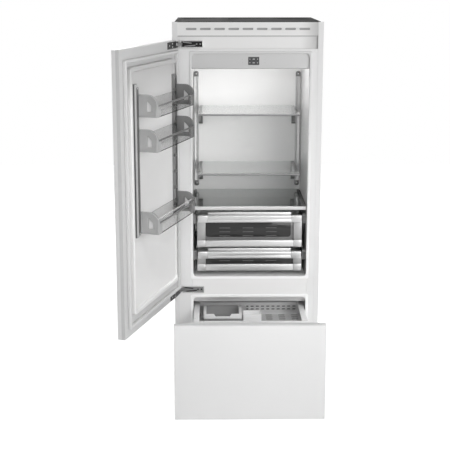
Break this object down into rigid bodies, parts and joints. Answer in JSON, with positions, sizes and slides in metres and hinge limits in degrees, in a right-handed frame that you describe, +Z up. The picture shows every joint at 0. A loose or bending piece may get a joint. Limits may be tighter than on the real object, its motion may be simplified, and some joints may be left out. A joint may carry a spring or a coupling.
{
  "type": "built-in refrigerator",
  "caption": "Tall built-in bottom-freezer refrigerator with a side-hinged door, shelves, crisper drawers and a pull-out freezer drawer, shown open.",
  "frame": {"origin": "on the floor, under the middle of the cabinet", "axes": "+X to the right seen from the front, +Y towards the back, +Z up"},
  "size_m": [1.0163, 1.2977, 2.1],
  "materials": {
    "cabinet_white": "fine textured white paint",
    "liner_white": "smooth vacuum-formed white plastic",
    "trim_white": "satin white paint",
    "dark_sheet": "dark grey coated sheet",
    "fascia_grey": "satin light grey",
    "display_black": "gloss black display glass",
    "lamp_opal": "opal light lens",
    "rail_grey": "satin anodised",
    "clear_glass": "clear safety glass",
    "trim_silver": "satin silver",
    "runner_grey": "moulded mid grey",
    "clear_plastic": "clear moulded plastic",
    "smoked_plastic": "smoked clear plastic",
    "hinge_steel": "bright plated steel",
    "hinge_black": "black plated steel",
    "panel_white": "smooth satin white lacquer",
    "core_grey": "plain light grey plastic",
    "gasket_grey": "soft light grey seal",
    "slide_steel": "zinc-plated",
    "tray_white": "white moulded plastic",
    "ice_clear": "frosted white plastic",
    "wire_chrome": "polished chrome",
    "foot_black": "black rubber and steel",
    "compressor_black": "black enamel",
    "fin_aluminium": "bare fins",
    "fan_plastic": "black moulded plastic"
  },
  "bodies": {
    "cabinet": {"side_wall_left": "cabinet_white", "side_wall_right": "cabinet_white", "back_wall": "cabinet_white", "roof": "cabinet_white", "divider": "cabinet_white", "freezer_floor": "cabinet_white", "fridge_liner": "liner_white", "freezer_liner": "liner_white", "evaporator_cover": "liner_white", "side_trims": "trim_white", "top_housing": "trim_white", "vent_grille": "trim_white", "hinge_rail": "trim_white", "top_cover": "dark_sheet", "base_frame": "dark_sheet", "kick_plate": "dark_sheet", "control_fascia": "fascia_grey", "display_window": "display_black", "lamp_lens": "lamp_opal", "shelf_rails": "rail_grey", "shelf_brackets": "rail_grey", "glass_shelves": "clear_glass", "crisper_cover": "clear_glass", "shelf_trims": "trim_silver", "crisper_supports": "runner_grey", "hinge_brackets": "hinge_steel", "hinge_pins": "hinge_steel", "outer_slides": "slide_steel", "levelling_feet": "foot_black", "compressor": "compressor_black", "condenser": "fin_aluminium", "evaporator": "fin_aluminium", "fan_motor": "fan_plastic"},
    "door": {"door_panel": "panel_white", "door_core": "core_grey", "door_gasket": "gasket_grey", "door_liner": "liner_white", "door_rails": "rail_grey", "top_bin": "clear_plastic", "middle_bin": "clear_plastic", "bottom_bin": "clear_plastic", "bin_end_caps": "trim_silver", "bin_wire": "wire_chrome", "hinge_plates": "hinge_black"},
    "upper_crisper": {"upper_crisper_box": "clear_plastic", "upper_crisper_front": "trim_silver", "upper_crisper_window": "smoked_plastic"},
    "lower_crisper": {"lower_crisper_box": "clear_plastic", "lower_crisper_front": "trim_silver", "lower_crisper_window": "smoked_plastic"},
    "freezer_drawer": {"drawer_panel": "panel_white", "drawer_core": "core_grey", "drawer_gasket": "gasket_grey", "freezer_basket": "tray_white", "inner_slides": "slide_steel"},
    "freezer_tray": {"middle_slides": "slide_steel", "freezer_tray": "tray_white", "ice_bin": "ice_clear", "storage_box": "tray_white"},
    "fan": {"evaporator_fan": "fan_plastic"}
  },
  "joints": [
    {"name": "door_swing", "type": "hinge", "parent": "cabinet", "child": "door", "pos_m": [-0.365, -0.309, 0.68], "axis": [0, 0, -1], "range_deg": [-108.5, 4]},
    {"name": "drawer_slide", "type": "slide", "parent": "cabinet", "child": "freezer_drawer", "axis": [0, -1, 0], "range_m": [-0.465, 0]},
    {"name": "tray_slide", "type": "slide", "parent": "cabinet", "child": "freezer_tray", "axis": [0, -1, 0], "range_m": [-0.2325, 0]},
    {"name": "upper_crisper_slide", "type": "slide", "parent": "cabinet", "child": "upper_crisper", "axis": [0, -1, 0], "range_m": [0, 0.3]},
    {"name": "lower_crisper_slide", "type": "slide", "parent": "cabinet", "child": "lower_crisper", "axis": [0, -1, 0], "range_m": [0, 0.3]},
    {"name": "fan_spin", "type": "hinge", "parent": "cabinet", "child": "fan", "pos_m": [0.015, 0.164, 0.458], "axis": [0, 1, 0], "continuous": true}
  ],
  "couplings": [
    {"joint": "tray_slide", "follows": "drawer_slide", "ratio": 0.5}
  ]
}
